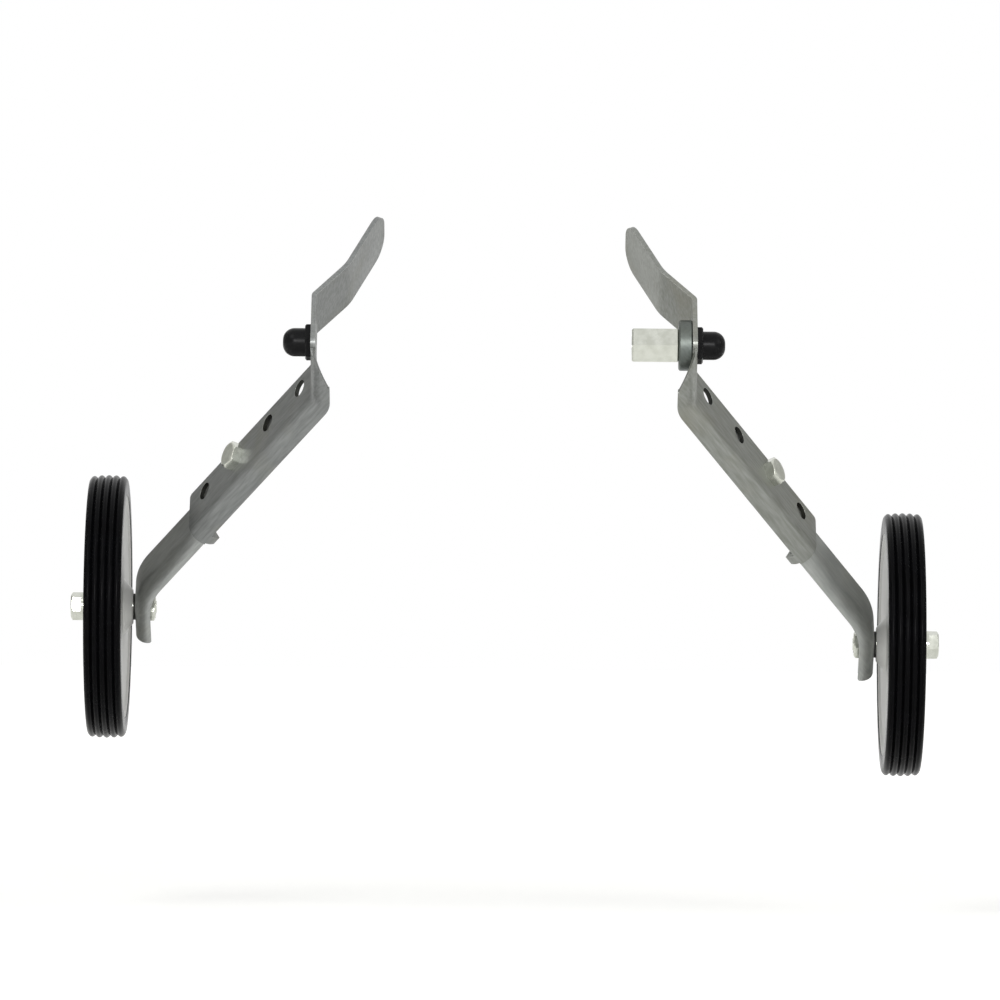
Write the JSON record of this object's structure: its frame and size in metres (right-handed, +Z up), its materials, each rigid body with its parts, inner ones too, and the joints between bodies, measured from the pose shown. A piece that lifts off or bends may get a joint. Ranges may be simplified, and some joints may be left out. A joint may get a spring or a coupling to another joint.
{
  "type": "bicycle training wheels",
  "caption": "Adjustable training wheels: pressed-steel axle brackets with braces, sliding struts in rolled channels, and spoked plastic wheels with ribbed rubber tyres.",
  "frame": {"origin": "on the rear axle's line, midway between the outer faces of the two ears", "axes": "+X to the bike's right along the axle, +Y forward, +Z up"},
  "size_m": [0.4619, 0.2464, 0.2915],
  "materials": {
    "zinc_sheet": "dull zinc plate",
    "zinc_bolt": "bright zinc plate",
    "wheel_plastic": "moulded, satin",
    "tyre_rubber": "matt",
    "black_nut": "black, satin",
    "dark_washer": "matt"
  },
  "bodies": {
    "brackets": {"bracket_right": "zinc_sheet", "clamp_bolt_right": "zinc_bolt", "clamp_washer_right": "zinc_bolt", "clamp_nut_right": "zinc_bolt", "axle_cap_nut_right": "black_nut", "axle_stud_right": "zinc_bolt", "axle_collar_right": "zinc_sheet", "bracket_left": "zinc_sheet", "clamp_bolt_left": "zinc_bolt", "clamp_washer_left": "zinc_bolt", "clamp_nut_left": "zinc_bolt", "axle_cap_nut_left": "black_nut"},
    "strut_right": {"strut_right": "zinc_sheet", "wheel_bolt_right": "zinc_bolt", "outer_washer_right": "zinc_bolt", "hub_washer_right": "dark_washer", "axle_sleeve_right": "zinc_bolt", "nut_washer_right": "zinc_bolt", "wheel_nut_right": "zinc_bolt"},
    "wheel_right": {"wheel_right": "wheel_plastic", "hub_right": "wheel_plastic", "tyre_right": "tyre_rubber"},
    "strut_left": {"strut_left": "zinc_sheet", "wheel_bolt_left": "zinc_bolt", "outer_washer_left": "zinc_bolt", "hub_washer_left": "dark_washer", "axle_sleeve_left": "zinc_bolt", "nut_washer_left": "zinc_bolt", "wheel_nut_left": "zinc_bolt"},
    "wheel_left": {"wheel_left": "wheel_plastic", "hub_left": "wheel_plastic", "tyre_left": "tyre_rubber"}
  },
  "joints": [
    {"name": "strut_slide_right", "type": "slide", "parent": "brackets", "child": "strut_right", "axis": [0.5225, 0.6029, -0.6029], "range_m": [-0.021, 0.013]},
    {"name": "wheel_spin_right", "type": "hinge", "parent": "strut_right", "child": "wheel_right", "pos_m": [0.21187, 0.14891, -0.15513], "axis": [1, 0, 0], "continuous": true},
    {"name": "strut_slide_left", "type": "slide", "parent": "brackets", "child": "strut_left", "axis": [-0.5225, 0.6532, -0.5481], "range_m": [-0.0155, 0.0185]},
    {"name": "wheel_spin_left", "type": "hinge", "parent": "strut_left", "child": "wheel_left", "pos_m": [-0.209, 0.15827, -0.13855], "axis": [1, 0, 0], "continuous": true}
  ]
}
